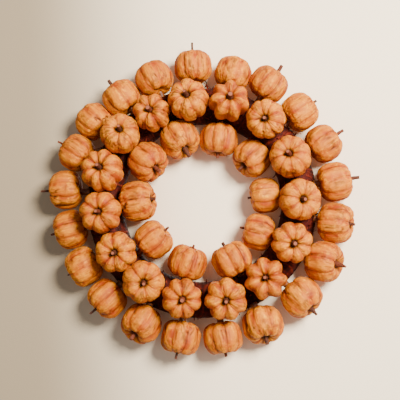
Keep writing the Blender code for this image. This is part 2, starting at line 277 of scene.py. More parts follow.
def measurePumpkin(node):
    points, faces = trianglesOf(node)
    centre, axis = solidMiddle(points, faces)
    points = np.unique(np.round(points, 6), axis=0)
    equator, centre, axis = findEquator(points, centre, axis)
    nearest = wrapTree.find_nearest(Vector(centre))[0]
    axis = axis * math.copysign(1, axis @ (centre - np.array(nearest)))
    turned = Vector(axis).to_track_quat("Z", "Y").to_matrix()

    # A circle through the crests of the ribs.
    flat = (equator - centre) @ np.array(turned)
    outer = flat
    for fit in range(measure["roundFits"]):
        rows = np.c_[2 * outer[:, :2], np.ones(len(outer))]
        x, y, _ = np.linalg.lstsq(rows, (outer[:, :2] ** 2).sum(1), rcond=None)[0]
        radii = np.hypot(flat[:, 0] - x, flat[:, 1] - y)
        crests = radii > (radii.max() + radii.min()) / 2
        outer = flat[crests]
    centre = centre + np.array(turned) @ np.array([x, y, 0])
    angles = np.sort(np.arctan2(outer[:, 1] - y, outer[:, 0] - x))
    gaps = np.diff(np.r_[angles, angles[0] + 2 * math.pi])
    ribs = round(2 * math.pi / np.median(gaps))
    radius = radii[crests].mean()
    valley = radii[~crests].mean()

    local = (points - centre) @ np.array(turned)
    out = np.hypot(local[:, 0], local[:, 1])
    near, far = (share * radius for share in measure["crestShares"])
    crest = local[(out > near) & (out < far), 2].max()
    stem = local[(out < measure["stemShare"] * radius) & (local[:, 2] > 0)]
    ending = stem[stem[:, 2] > stem[:, 2].max() - measure["tipDepth"]]
    tip = ending.mean(0)
    return {
        "place": Matrix.Translation(Vector(centre)) @ turned.to_4x4(),
        "centre": Vector(centre),
        "radius": radius,
        "halfHeight": crest,
        "ribs": ribs,
        "ribDepth": 1 - valley / radius,
        "ridge": math.atan2(np.sin(angles * ribs).mean(), np.cos(angles * ribs).mean()) / ribs,
        "tip": Vector(tip),
        "tipRadius": np.linalg.norm(ending - tip, axis=1).mean(),
        "foot": nearest,
    }


pumpkinNodes = sorted(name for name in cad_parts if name.startswith("pumpkin"))
pumpkins = {name: measurePumpkin(name) for name in pumpkinNodes}
print("pumpkins measured", len(pumpkins))


# Camera


def aimed(obj, place, target):
    obj.location = place
    obj.rotation_mode = "QUATERNION"
    obj.rotation_quaternion = (Vector(target) - Vector(place)).to_track_quat("-Z", "Y")
    bpy.context.scene.collection.objects.link(obj)
    return obj


lens = {
    "azimuth": 3.0,
    "elevation": -5.0,
    "away": 1.655,
    "length": 85.0,
    "sensor": 36.0,
    "aside": -1.8 * millimetre,
    "above": 1.8 * millimetre,
    "middle": -40 * millimetre,
}
aim = Vector((lens["aside"], lens["middle"], centreHeight + lens["above"]))
azimuth, elevation = math.radians(lens["azimuth"]), math.radians(lens["elevation"])
back = Vector((
    math.sin(azimuth) * math.cos(elevation),
    -math.cos(azimuth) * math.cos(elevation),
    math.sin(elevation),
))
cameraData = bpy.data.cameras.new("camera")
cameraData.lens = lens["length"]
cameraData.sensor_width = lens["sensor"]
camera = aimed(bpy.data.objects.new("camera", cameraData), aim + back * lens["away"], aim)
bpy.context.scene.camera = camera


# Shading


def tone(red, green, blue):
    # A display colour, 0 to 255, as linear light.
    def linear(value):
        value /= 255
        return value / 12.92 if value <= 0.04045 else ((value + 0.055) / 1.055) ** 2.4
    return (linear(red), linear(green), linear(blue), 1.0)


def newMaterial(name, **constants):
    material = bpy.data.materials.new(name)
    material.use_nodes = True
    tree = material.node_tree
    shader = tree.nodes["Principled BSDF"]
    for label, value in constants.items():
        shader.inputs[label.replace("_", " ")].default_value = value
    return material, tree, shader


def attribute(tree, name):
    return Num(tree, put(tree, "ShaderNodeAttribute", attribute_name=name).outputs["Fac"])


def attributeVector(tree, name):
    return put(tree, "ShaderNodeAttribute", attribute_name=name).outputs["Vector"]


def mix(tree, share, first, second):
    node = put(tree, "ShaderNodeMix", data_type="RGBA")
    for index, value in ((0, share), (6, first), (7, second)):
        feed(tree, node.inputs[index], value)
    return node.outputs[2]


def layer(tree, under, *coats):
    # Each coat is a mask, its greatest share and its colour.
    for mask, share, colour in coats:
        under = mix(tree, mask * share, under, colour)
    return under


def useGroup(tree, group, inputs):
    return put(tree, "ShaderNodeGroup", inputs, node_tree=group).outputs[0]


def bump(tree, shader, height, distance):
    inputs = {"Strength": 1.0, "Distance": distance, "Height": height}
    feed(tree, shader.inputs["Normal"], put(tree, "ShaderNodeBump", inputs).outputs[0])


def fibresGroup():
    inputs = {"Place": (0.0, 0.0, 0.0), "Across": 10.0, "Along": 1.0, "Seed": 0.0}
    tree, given = newTree("fibres", inputs, "ShaderNodeTree")
    x, y, z = parts(tree, given["Place"])
    stretched = vector(tree, x * given["Across"], y * given["Across"], z * given["Along"])
    mask = noise(tree, stretched, 1.0, detail=5.0, rough=0.62, seed=given["Seed"], distortion=0.3)
    giveOut(tree, "Mask", "Float", mask)
    return tree


def mottleGroup():
    inputs = {
        "Place": (0.0, 0.0, 0.0), "Scale": 1.0, "Seed": 0.0,
        "Low": tone(89, 89, 89), "Middle": tone(149, 149, 149), "High": tone(203, 203, 203),
    }
    tree, given = newTree("mottle", inputs, "ShaderNodeTree")
    place, scale, seed = given["Place"], given["Scale"], given["Seed"]
    broad = noise(tree, place, scale, detail=3.0, rough=0.55, seed=seed, distortion=0.4)
    fine = noise(tree, place, scale * 3.7, detail=4.0, rough=0.6, seed=seed + 3.0)
    lower = mix(tree, broad.ramp(0.36, 0.56), given["Low"], given["Middle"])
    upper = mix(tree, fine.ramp(0.5, 0.72) * broad.ramp(0.3, 0.6), lower, given["High"])
    giveOut(tree, "Color", "Color", upper)
    return tree


fibres = fibresGroup()
mottle = mottleGroup()

paperColours = {
    "rust": tone(112, 31, 0),
    "orange": tone(158, 60, 0),
    "golden": tone(190, 100, 0),
    "pale": tone(240, 160, 0),
    "pink": tone(144, 46, 0),
    "crease": tone(46, 8, 0),
    "hollow": tone(38, 9, 2),
}


def pumpkinPaper():
    material, tree, shader = newMaterial("pumpkinPaper", Specular_IOR_Level=0.22)
    colours = paperColours
    flow = attributeVector(tree, "flow")
    crease, hollow = attribute(tree, "crease"), attribute(tree, "hollow")
    tint, valley = attribute(tree, "tint"), attribute(tree, "valley")
    skin = useGroup(tree, mottle, {
        "Place": flow, "Scale": 1.5, "Seed": tint * 31.0,
        "Low": colours["orange"], "Middle": colours["golden"], "High": colours["pale"],
    })
    strand = Num(tree, useGroup(tree, fibres, {
        "Place": flow, "Across": 9.0, "Along": 1.6, "Seed": tint * 17.0,
    }))
    fine = Num(tree, useGroup(tree, fibres, {
        "Place": flow, "Across": 34.0, "Along": 9.0, "Seed": tint * 11.0,
    }))
    blotch = noise(tree, flow, 2.1, detail=4.0, rough=0.6, seed=tint * 53.0 + 7.0, distortion=0.6)
    blush = noise(tree, flow, 1.3, detail=2.0, rough=0.5, seed=tint * 71.0 + 3.0)
    skin = layer(
        tree, skin,
        (tint.ramp(0.0, 1.0), 0.45, colours["orange"]),
        # Paler on the rib crests: a painted highlight.
        ((0.3 - valley).calc("MAXIMUM", 0.0), 0.9, colours["pale"]),
        # Darker rust red down in the rib valleys: painted shade.
        (valley.ramp(0.35, 1.0), 0.55, colours["rust"]),
        (strand.ramp(0.54, 0.72), 0.5, colours["pale"]),
        (strand.ramp(0.46, 0.3), 0.55, colours["rust"]),
        (blotch.ramp(0.55, 0.7), 0.6, colours["rust"]),
        (blush.ramp(0.56, 0.72), 0.4, colours["pink"]),
        (fine.ramp(0.6, 0.75), 0.3, colours["rust"]),
        # Dark creases, folds and rib valley lines: painted shade.
        (crease.calc("MINIMUM", 0.94), 1.0, colours["crease"]),
        # Dark inside the stem's hollow: painted shade.
        (hollow, 0.92, colours["hollow"]),
    )
    feed(tree, shader.inputs["Base Color"], skin)
    feed(tree, shader.inputs["Roughness"], 0.5 + strand * 0.22 + crease * 0.1)
    bump(tree, shader, strand * 0.7 + fine * 0.3 - crease * 0.35, distance=0.0009)
    return material


def twigBark():
    material, tree, shader = newMaterial("twigBark", Specular_IOR_Level=0.3)
    grain = attributeVector(tree, "grain")
    cut, tint = attribute(tree, "cut"), attribute(tree, "tint")
    bark = useGroup(tree, mottle, {
        "Place": grain, "Scale": 0.45, "Seed": tint * 19.0,
        "Low": tone(44, 20, 10), "Middle": tone(80, 38, 20), "High": tone(122, 64, 36),
    })
    strand = Num(tree, useGroup(tree, fibres, {
        "Place": grain, "Across": 1.6, "Along": 0.16, "Seed": tint * 13.0,
    }))
    bark = layer(
        tree, bark,
        (tint.ramp(0.35, 1.0), 0.55, tone(118, 50, 24)),
        (strand.ramp(0.5, 0.34), 0.75, tone(28, 10, 6)),
    )
    x, y, _ = parts(tree, grain)
    rings = ((x * x + y * y).calc("SQRT") * 5.0 + strand * 2.0).calc("SINE") * 0.5 + 0.5
    stain = noise(tree, grain, 1.7, detail=4.0).ramp(0.45, 0.7)
    wood = layer(
        tree, tone(150, 84, 60),
        (rings, 0.5, tone(108, 52, 36)),
        (stain, 0.6, tone(72, 30, 20)),
    )
    feed(tree, shader.inputs["Base Color"], mix(tree, cut.ramp(0.35, 0.75), bark, wood))
    feed(tree, shader.inputs["Roughness"], 0.6 + strand * 0.25)
    bump(tree, shader, strand + rings * cut * 0.3, distance=0.0006)
    return material


def objectPlace(tree):
    return put(tree, "ShaderNodeTexCoord").outputs["Object"]


def ringPaper():
    material, tree, shader = newMaterial("ringPaper", Specular_IOR_Level=0.12, Coat_Roughness=0.5)
    place = objectPlace(tree)
    edge, crease = attribute(tree, "edge"), attribute(tree, "crease")
    paper = useGroup(tree, mottle, {
        "Place": place, "Scale": 60.0, "Seed": 2.0,
        "Low": tone(34, 6, 4), "Middle": tone(72, 15, 8), "High": tone(134, 44, 20),
    })
    strand = noise(tree, place, 420.0, detail=5.0, rough=0.65, seed=1.0, distortion=0.8)
    paper = layer(
        tree, paper,
        (strand.ramp(0.5, 0.32), 0.7, tone(24, 8, 6)),
        (edge, 0.5, tone(140, 46, 20)),
        # Dark along the wrinkles and the seams under each lip: painted shade. On the shreds the
        # same attribute marks random darker patches of the paper.
        (crease, 0.7, tone(20, 6, 4)),
    )
    feed(tree, shader.inputs["Base Color"], paper)
    feed(tree, shader.inputs["Roughness"], 0.5 + strand * 0.3)
    feed(tree, shader.inputs["Coat Weight"], strand.ramp(0.5, 0.7) * 0.04)
    bump(tree, shader, strand + edge * 0.5, distance=0.0012)
    return material


def glueClear():
    constants = {"Coat_Roughness": 0.3, "Coat_Weight": 0.15, "IOR": 1.48}
    material, tree, shader = newMaterial("glueClear", **constants)
    place = objectPlace(tree)
    cloud = noise(tree, place, 260.0, detail=3.0, rough=0.5, seed=4.0)
    bubbles = noise(tree, place, 1500.0, detail=1.0, rough=0.4, seed=8.0).ramp(0.62, 0.7)
    shade = mix(tree, cloud.ramp(0.4, 0.65), tone(134, 74, 30), tone(84, 34, 12))
    shade = layer(tree, shade, (bubbles, 0.4, tone(176, 118, 62)))
    feed(tree, shader.inputs["Base Color"], shade)
    feed(tree, shader.inputs["Roughness"], 0.32 + cloud * 0.25)
    feed(tree, shader.inputs["Alpha"], 0.9 + cloud * 0.1)
    bump(tree, shader, cloud + bubbles * 0.3, distance=0.0008)
    return material


def wireCoat():
    material, tree, shader = newMaterial("wireCoat", Metallic=0.3)
    place = objectPlace(tree)
    worn = noise(tree, place, 700.0, detail=4.0, rough=0.6, seed=3.0)
    shade = mix(tree, worn.ramp(0.42, 0.6), tone(36, 18, 12), tone(60, 34, 24))
    shade = mix(tree, worn.ramp(0.66, 0.74), shade, tone(112, 92, 76))
    feed(tree, shader.inputs["Base Color"], shade)
    feed(tree, shader.inputs["Roughness"], 0.42 + worn * 0.3)
    bump(tree, shader, worn, distance=0.0002)
    return material


def formFoam():
    material, tree, shader = newMaterial("formFoam", Roughness=0.9)
    place = objectPlace(tree)
    voronoi = put(tree, "ShaderNodeTexVoronoi", {"Vector": place, "Scale": 900.0})
    cells = Num(tree, voronoi.outputs["Distance"])
    cloud = noise(tree, place, 90.0, detail=3.0)
    foam = mix(tree, cloud.ramp(0.4, 0.62), tone(188, 178, 154), tone(160, 146, 118))
    foam = layer(tree, foam, (cells.ramp(0.3, 0.7), 0.5, tone(122, 108, 84)))
    feed(tree, shader.inputs["Base Color"], foam)
    bump(tree, shader, cells, distance=0.0006)
    return material


def wallPaint():
    material, tree, shader = newMaterial("wallPaint", Roughness=0.9, Specular_IOR_Level=0.2)
    place = objectPlace(tree)
    x, _, z = parts(tree, place)
    cloud = noise(tree, place, 3.0, detail=3.0, rough=0.5, seed=6.0)
    roller = noise(tree, place, 420.0, detail=3.0, rough=0.5, seed=9.0)
    paint = layer(
        tree, tone(252, 236, 211),
        (cloud.ramp(0.4, 0.6), 0.25, tone(246, 228, 202)),
        # Darker and warmer towards the left: painted shade, the light falling off across the wall.
        ((x + z * 0.05).ramp(0.02, -0.33), 0.95, tone(142, 127, 105)),
    )
    feed(tree, shader.inputs["Base Color"], paint)
    bump(tree, shader, roller, distance=0.0002)

    # The paint is clear from behind, so that the back of the wreath can be looked at.
    seen = put(tree, "ShaderNodeNewGeometry").outputs["Backfacing"]
    clear = put(tree, "ShaderNodeBsdfTransparent").outputs[0]
    blend = put(tree, "ShaderNodeMixShader", {0: seen, 1: shader.outputs[0], 2: clear})
    feed(tree, tree.nodes["Material Output"].inputs["Surface"], blend.outputs[0])
    return material


materials = {
    "skin": pumpkinPaper(),
    "bark": twigBark(),
    "ring": ringPaper(),
    "glue": glueClear(),
    "wire": wireCoat(),
    "foam": formFoam(),
    "wall": wallPaint(),
}
print("materials ready")


# Pumpkin bodies

# Heights, dents and crumple are in millimetres; a greater sharpness makes a thinner line.
body = {
    "segments": 144,
    "rings": 84,
    "roundness": 0.75,
    "shoulder": 0.92,
    "topHollow": 6.0 * millimetre,
    "bottomHollow": 4.0 * millimetre,
    "funnel": 5.0 * millimetre,
    "overfill": 0.087,
    "inset": 0.35 * millimetre,
    "ribWander": 0.34,
    "ribSoftness": (0.45, 1.7),
    "longHeight": 0.62,
    "longSharpness": 22.0,
    "shortHeight": 0.3,
    "shortSharpness": 9.0,
    "foldHeight": 1.1,
    "foldSharpness": 36.0,
    "dents": 4.2,
    "crumple": 1.1,
    "calmRim": 0.7,
    "lobes": {"outer": 1.0, "front": 1.4, "inner": 1.0},
    "folds": 0.25,
    "strongFolds": {
        "pumpkin_outer_10": 0.5,
        "pumpkin_outer_12": 1.1,
        "pumpkin_outer_17": 1.0,
        "pumpkin_outer_18": 1.0,
        "pumpkin_outer_19": 1.2,
        "pumpkin_outer_20": 0.4,
        "pumpkin_outer_21": 0.7,
        "pumpkin_front_01": 0.9,
        "pumpkin_front_15": 0.8,
        "pumpkin_inner_01": 1.0,
        "pumpkin_inner_09": 1.1,
        "pumpkin_inner_10": 0.9,
    },
}


def pumpkinTree():
    tree, given = newTree("pumpkinSkin", {
        "Radius": 0.035, "Half Height": 0.028, "Ribs": 8.0, "Rib Depth": 0.07, "Ridge": 0.0,
        "Seed": 0.0, "Folds": 0.3, "Wrinkles": 1.0, "Tint": 0.5, "Lobes": 1.0,
    })
    radius, halfHeight, seed = given["Radius"], given["Half Height"], given["Seed"]
    ribDepth = given["Rib Depth"]
    mesh = {"Segments": body["segments"], "Rings": body["rings"]}
    ball = put(tree, "GeometryNodeMeshUVSphere", mesh)
    place = positionOf(tree)
    x, y, z = parts(tree, place)
    polar, turn = z.calc("ARCCOSINE"), y.calc("ARCTAN2", x)
    cosine, sine = turn.calc("COSINE"), turn.calc("SINE")
    flow = vector(tree, cosine, sine, polar)

    def around(across, along, detail, offset, distortion=0.0):
        stretched = vector(tree, cosine * across, sine * across, polar * along)
        return noise(tree, stretched, 1.0, detail, 0.55, seed + offset, distortion)

    # Ribs: puffed between narrow creases, no two alike.
    wander = (around(across=1.3, along=0.5, detail=1.0, offset=1.0) - 0.5) * body["ribWander"]
    side = (turn - given["Ridge"] + wander) * given["Ribs"] * 0.5
    side = side.calc("COSINE").calc("ABSOLUTE")
    softest, hardest = body["ribSoftness"]
    softness = (ribDepth * 13.0 - 0.1).calc("MAXIMUM", softest).calc("MINIMUM", hardest)
    valley = 1.0 - side.calc("POWER", softness)
    out = polar.calc("SINE").calc("MAXIMUM", 0.0).calc("POWER", body["roundness"])
    up = z.calc("ABSOLUTE").calc("POWER", body["roundness"]) / body["shoulder"]
    sign = z.calc("SIGN")
    top = z.calc("GREATER_THAN", 0.0)
    uneven = around(across=1.7, along=0.7, detail=1.0, offset=2.0) * 1.2 + 0.45
    depth = ribDepth * given["Lobes"] * (1.6 - 0.6 * out) * uneven
    reach = radius * out * (1.0 - depth * valley)

    # Hollows at both ends, with a narrow funnel where the stem stands.
    over = halfHeight * body["overfill"]
    dimple = (over + body["topHollow"]) * (1.0 - out.ramp(0.0, 0.62))
    funnel = body["funnel"] * (1.0 - out.ramp(0.05, 0.27))
    bottom = (over + body["bottomHollow"]) * (1.0 - out.ramp(0.0, 0.6))
    sunk = top * (dimple + funnel) + (1.0 - top) * bottom
    sunk = sunk + valley * depth * halfHeight * 0.75 * (1.0 - out.ramp(0.3, 0.98))
    height = sign * (up * halfHeight - sunk)

    # Creased paper: meridian creases, fine ones between them and a few deep folds.
    longSpread = around(across=2.3, along=0.6, detail=3.0, offset=3.0, distortion=0.5)
    longPatch = around(across=1.3, along=1.1, detail=2.0, offset=5.0).ramp(0.44, 0.62)
    long = lines(longSpread, body["longSharpness"]) * longPatch
    shortSpread = around(across=5.2, along=1.7, detail=2.0, offset=6.0, distortion=0.4)
    short = lines(shortSpread, body["shortSharpness"])
    foldSpread = around(across=1.15, along=0.3, detail=2.0, offset=8.0, distortion=0.5)
    foldPatch = around(across=1.0, along=1.2, detail=1.0, offset=9.0).ramp(0.46, 0.56)
    fold = lines(foldSpread, body["foldSharpness"]) * foldPatch * given["Folds"]
    rim = (1.0 - out.ramp(0.1, 0.4)).calc("MAXIMUM", (1.0 - top) * (1.0 - out.ramp(0.3, 0.8)))
    inward = (long * body["longHeight"] + short * body["shortHeight"]) * given["Wrinkles"]
    inward = inward + fold * body["foldHeight"]
    dents = noise(tree, place, 2.2, detail=2.0, rough=0.5, seed=seed + 11.0) - 0.5
    crumple = noise(tree, place, 7.0, detail=3.0, rough=0.55, seed=seed + 12.0) - 0.5
    shift = dents * body["dents"] + crumple * body["crumple"] - inward
    shift = shift * (1.0 - rim * body["calmRim"]) * millimetre
    shift = shift - body["inset"]
    base = vector(tree, reach * cosine, reach * sine, height)
    outward = move(tree, "NORMALIZE", base)
    moved = move(tree, "ADD", base, move(tree, "SCALE", outward, scale=shift))

    # What the paper's colour follows: dark lines along the creases and folds and the stem's
    # hollow, which carry painted shade, and the valleys, which carry painted shade in them and a
    # painted highlight on the crests between them.
    narrow = 1.0 - (side * 4.5).calc("MINIMUM", 1.0)
    narrowPatch = around(across=1.9, along=0.3, detail=1.0, offset=4.0).ramp(0.4, 0.58)
    narrow = narrow * narrowPatch * (0.75 - ribDepth * 5.0)
    crease = narrow + long * 0.6 + short * 0.14 + fold * 0.8
    crease = crease * (1.0 - rim * (1.0 - top) * body["calmRim"])
    crease = crease.calc("MINIMUM", 1.0)
    made = store(tree, ball.outputs["Mesh"], "crease", crease)
    # The hollow attribute marks the funnel round the stem, painted dark as shade.
    made = store(tree, made, "hollow", top * (1.0 - out.ramp(0.13, 0.34)))
    made = store(tree, made, "valley", valley * (ribDepth * 6.0 + 0.3))
    made = store(tree, made, "tint", given["Tint"])
    made = store(tree, made, "flow", flow, "FLOAT_VECTOR")
    made = setPoints(tree, made, "Position", moved)
    closeTree(tree, made, materials["skin"])
    return tree


# Twig stems

# root, knee and tip are shares of the measured radius at the stem's end.
stem = {
    "below": 9.0 * millimetre,
    "hollow": 6.0 * millimetre,
    "root": 1.35 / 0.85,
    "knee": 0.95 / 0.85,
    "kneeShare": 0.62,
    "tip": 0.92,
    "taperedTips": {
        "pumpkin_outer_08": 0.42,
        "pumpkin_outer_09": 0.5,
        "pumpkin_outer_15": 0.6,
        "pumpkin_inner_01": 0.8,
    },
    "along": 34,
    "around": 20,
    "knobs": 0.5,
    "cutScale": 0.72,
    "cutDepth": -0.3 * millimetre,
    "grooves": 0.55,
}


def twigTree():
    tree, given = newTree("twigStem", {
        "Root": (0.0, 0.0, 0.0), "Knee": (0.0, 0.0, 0.01), "Tip": (0.0, 0.0, 0.02),
        "Root Radius": 0.004, "Knee Radius": 0.003, "Tip Radius": 0.003,
        "Seed": 0.0, "Tint": 0.5,
    })
    curve = put(tree, "GeometryNodeCurveQuadraticBezier", {
        "Resolution": stem["along"],
        "Start": given["Root"], "Middle": given["Knee"], "End": given["Tip"],
    })
    share = Num(tree, put(tree, "GeometryNodeSplineParameter").outputs["Factor"])
    place = positionOf(tree)
    knobs = noise(tree, place, 260.0, detail=1.0, rough=0.5, seed=given["Seed"]) - 0.5
    thick = share.ramp(0.0, 0.5, given["Root Radius"], given["Knee Radius"])
    thick = thick + share.ramp(0.45, 1.0) * (given["Tip Radius"] - given["Knee Radius"])
    thick = thick * (1.0 + knobs * stem["knobs"])
    size = {"Resolution": stem["around"], "Radius": 1.0}
    circle = put(tree, "GeometryNodeCurvePrimitiveCircle", size)
    tube = put(tree, "GeometryNodeCurveToMesh", {
        "Curve": curve.outputs[0], "Profile Curve": circle.outputs[0],
        "Scale": thick, "Fill Caps": True,
    }).outputs[0]

    # The ends are the only faces with more than six corners.
    corners = Num(tree, put(tree, "GeometryNodeInputMeshFaceNeighbors").outputs["Vertex Count"])
    cut = put(tree, "GeometryNodeExtrudeMesh", {
        "Mesh": tube, "Selection": corners.calc("GREATER_THAN", 6.0),
        "Offset Scale": 0.0, "Individual": False,
    }, mode="FACES")
    ended = put(tree, "GeometryNodeScaleElements", {
        "Geometry": cut.outputs["Mesh"], "Selection": cut.outputs["Top"],
        "Scale": stem["cutScale"],
    }).outputs[0]
    made = store(tree, ended, "cut", cut.outputs["Top"])
    x, y, z = parts(tree, place)
    grain = move(tree, "SCALE", place, scale=1 / millimetre)
    made = store(tree, made, "grain", grain, "FLOAT_VECTOR")
    made = store(tree, made, "tint", given["Tint"])
    stretched = vector(tree, x * 900.0, y * 900.0, z * 130.0)
    seed = given["Seed"]
    groove = noise(tree, stretched, 1.0, detail=3.0, rough=0.6, seed=seed, distortion=0.3) - 0.5
    pressed = Num(tree, cut.outputs["Top"]) * stem["cutDepth"]
    swell = groove * given["Knee Radius"] * stem["grooves"] + pressed
    made = setPoints(tree, made, "Offset", move(tree, "SCALE", normalOf(tree), scale=swell))
    closeTree(tree, made, materials["bark"])
    return tree


# Glue beads

# into is the share of a pumpkin's half height where its bead ends.
bead = {
    "foot": 6.9 * millimetre,
    "top": 5.5 * millimetre,
    "sink": 0.3 * millimetre,
    "into": 0.6,
    "lumps": 0.5,
}


def beadTree():
    tree, given = newTree("glueBead", {
        "Length": 0.02, "Foot Radius": 0.0069, "Top Radius": 0.0055, "Seed": 0.0,
    })
    cone = put(tree, "GeometryNodeMeshCone", {
        "Vertices": 28, "Side Segments": 12, "Fill Segments": 3, "Depth": given["Length"],
        "Radius Top": given["Top Radius"], "Radius Bottom": given["Top Radius"],
    })
    place = positionOf(tree)
    x, y, z = parts(tree, place)
    share = (z / given["Length"]).calc("MAXIMUM", 0.0)
    flare = (1.0 - share.calc("MINIMUM", 1.0)).calc("POWER", 4.0)
    lumps = noise(tree, place, 190.0, detail=2.0, rough=0.5, seed=given["Seed"])
    widen = (given["Foot Radius"] / given["Top Radius"] - 1.0) * flare
    widen = widen + (lumps - 0.5) * bead["lumps"]
    grown = vector(tree, x * (1.0 + widen), y * (1.0 + widen), z)
    closeTree(tree, setPoints(tree, cone.outputs[0], "Position", grown), materials["glue"])
    return tree


# The 46 pumpkins, each made of its body, stem and bead

skinTree, stemTree, glueTree = pumpkinTree(), twigTree(), beadTree()
variety = {
    "seedStep": 7.31,
    "tintStep": 0.6180339887,
    "wrinkleStep": 0.377,
    "leastWrinkles": 0.75,
    "moreWrinkles": 0.5,
}


def finished(piece, slot, *nodes):
    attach(piece, "root")
    if nodes:
        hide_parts(*nodes)


def plantPumpkin(index, node, spec):
    label = node.replace("pumpkin", "").title().replace("_", "")
    seed = index * variety["seedStep"] + 1.0
    tint = (index * variety["tintStep"]) % 1.0
    wrinkled = (index * variety["wrinkleStep"]) % 1.0
    skin = grow("pumpkin" + label, skinTree, {
        "Radius": spec["radius"], "Half Height": spec["halfHeight"],
        "Ribs": float(spec["ribs"]), "Rib Depth": spec["ribDepth"], "Ridge": spec["ridge"],
        "Seed": seed, "Tint": tint,
        "Folds": body["strongFolds"].get(node, body["folds"]),
        "Wrinkles": variety["leastWrinkles"] + variety["moreWrinkles"] * wrinkled,
        "Lobes": body["lobes"][node.split("_")[1]],
    }, place=spec["place"])
    finished(skin, "pumpkin_paper", node)

    floor = spec["halfHeight"] - stem["hollow"]
    tip, tipRadius = spec["tip"], spec["tipRadius"]
    twig = grow("stem" + label, stemTree, {
        "Root": (0.0, 0.0, floor - stem["below"]),
        "Knee": Vector((0, 0, floor + stem["kneeShare"] * (tip.z - floor))),
        "Tip": tip,
        "Root Radius": tipRadius * stem["root"],
        "Knee Radius": tipRadius * stem["knee"],
        "Tip Radius": tipRadius * stem["taperedTips"].get(node, stem["tip"]),
        "Seed": seed, "Tint": tint,
    }, place=spec["place"])
    finished(twig, "twig_stem", node)

    reach = spec["centre"] - spec["foot"]
    turned = reach.to_track_quat("Z", "Y").to_matrix().to_4x4()
    sunk = Matrix.Translation((0, 0, -bead["sink"]))
    drop = grow("glue" + label, glueTree, {
        "Length": reach.length - spec["halfHeight"] * bead["into"],
        "Foot Radius": bead["foot"], "Top Radius": bead["top"], "Seed": seed,
    }, place=Matrix.Translation(spec["foot"]) @ turned @ sunk)
    finished(drop, "hot_glue", node)


for index, (node, spec) in enumerate(pumpkins.items()):
    plantPumpkin(index, node, spec)
print("pumpkins made")


# Paper wound round the form

# lift, lip, seamDip, wrinkle and crumple are in millimetres, and lipShare and seamShare
# are parts of a turn of the ribbon.
wound = {
    "around": 560,
    "arc": 40,
    "flatSteps": 12,
    "wallSteps": 6,
    "turns": 34.0,
    "inset": 0.4 * millimetre,
    "thickness": 1.1 * millimetre,
    "seam": 2.0 * millimetre,
    "side": -wrapPoints[wrapRadii > ring["outer"] - 0.1 * millimetre][:, 1].min(),
    "wander": 1.1,
    "axisDepth": 18.0 * millimetre,
    "lipShare": 0.14,
    "seamShare": 0.06,
    "lift": 0.35,
    "lip": 0.45,
    "seamDip": 0.25,
    "wrinkle": 0.45,
    "crumple": 1.3,
    "backGap": 0.3 * millimetre,
}


def outline(inset):
    # The ring's section from its seam over the front and back to its seam, as radius and depth.
    half = (ring["outer"] - ring["inner"]) / 2 - inset
    rise = ring["front"] - wound["side"] - inset
    middle, seam, side = ring["middle"], wound["seam"], wound["side"]
    flatShares = [i / wound["flatSteps"] for i in range(wound["flatSteps"])]
    wallShares = [i / wound["wallSteps"] for i in range(wound["wallSteps"])]
    angles = [math.pi * i / wound["arc"] for i in range(wound["arc"] + 1)]
    flat = [(middle + seam + (half - seam) * share, inset) for share in flatShares]
    wall = [(middle + half, inset + (side - inset) * share) for share in wallShares]
    arc = [(middle + half * math.cos(a), side + rise * math.sin(a)) for a in angles]
    mirrored = [(2 * middle - radius, depth) for radius, depth in (flat + wall)[::-1]]
    return flat + wall + arc + mirrored


def woundBase():
    outside, inside = outline(wound["inset"]), outline(wound["inset"] + wound["thickness"])
    section = [(radius, depth, 1.0) for radius, depth in outside]
    section += [(radius, depth, 0.0) for radius, depth in inside[::-1]]
    count, around = len(section), wound["around"]
    points, skins = [], []
    for i in range(around):
        turn = 2 * math.pi * i / around
        for radius, depth, skin in section:
            x, z = radius * math.sin(turn), centreHeight + radius * math.cos(turn)
            points.append((x, -depth, z))
            skins.append(skin)
    faces = []
    for i in range(around):
        here, there = i * count, (i + 1) % around * count
        for j in range(count):
            k = (j + 1) % count
            faces.append((here + j, here + k, there + k, there + j))
    mesh = bpy.data.meshes.new("woundBase")
    mesh.from_pydata(points, [], faces)
    bm = bmesh.new()
    bm.from_mesh(mesh)
    bmesh.ops.recalc_face_normals(bm, faces=bm.faces)
    bm.to_mesh(mesh)
    bm.free()
    mesh.attributes.new("skin", "FLOAT", "POINT").data.foreach_set("value", skins)
    return mesh


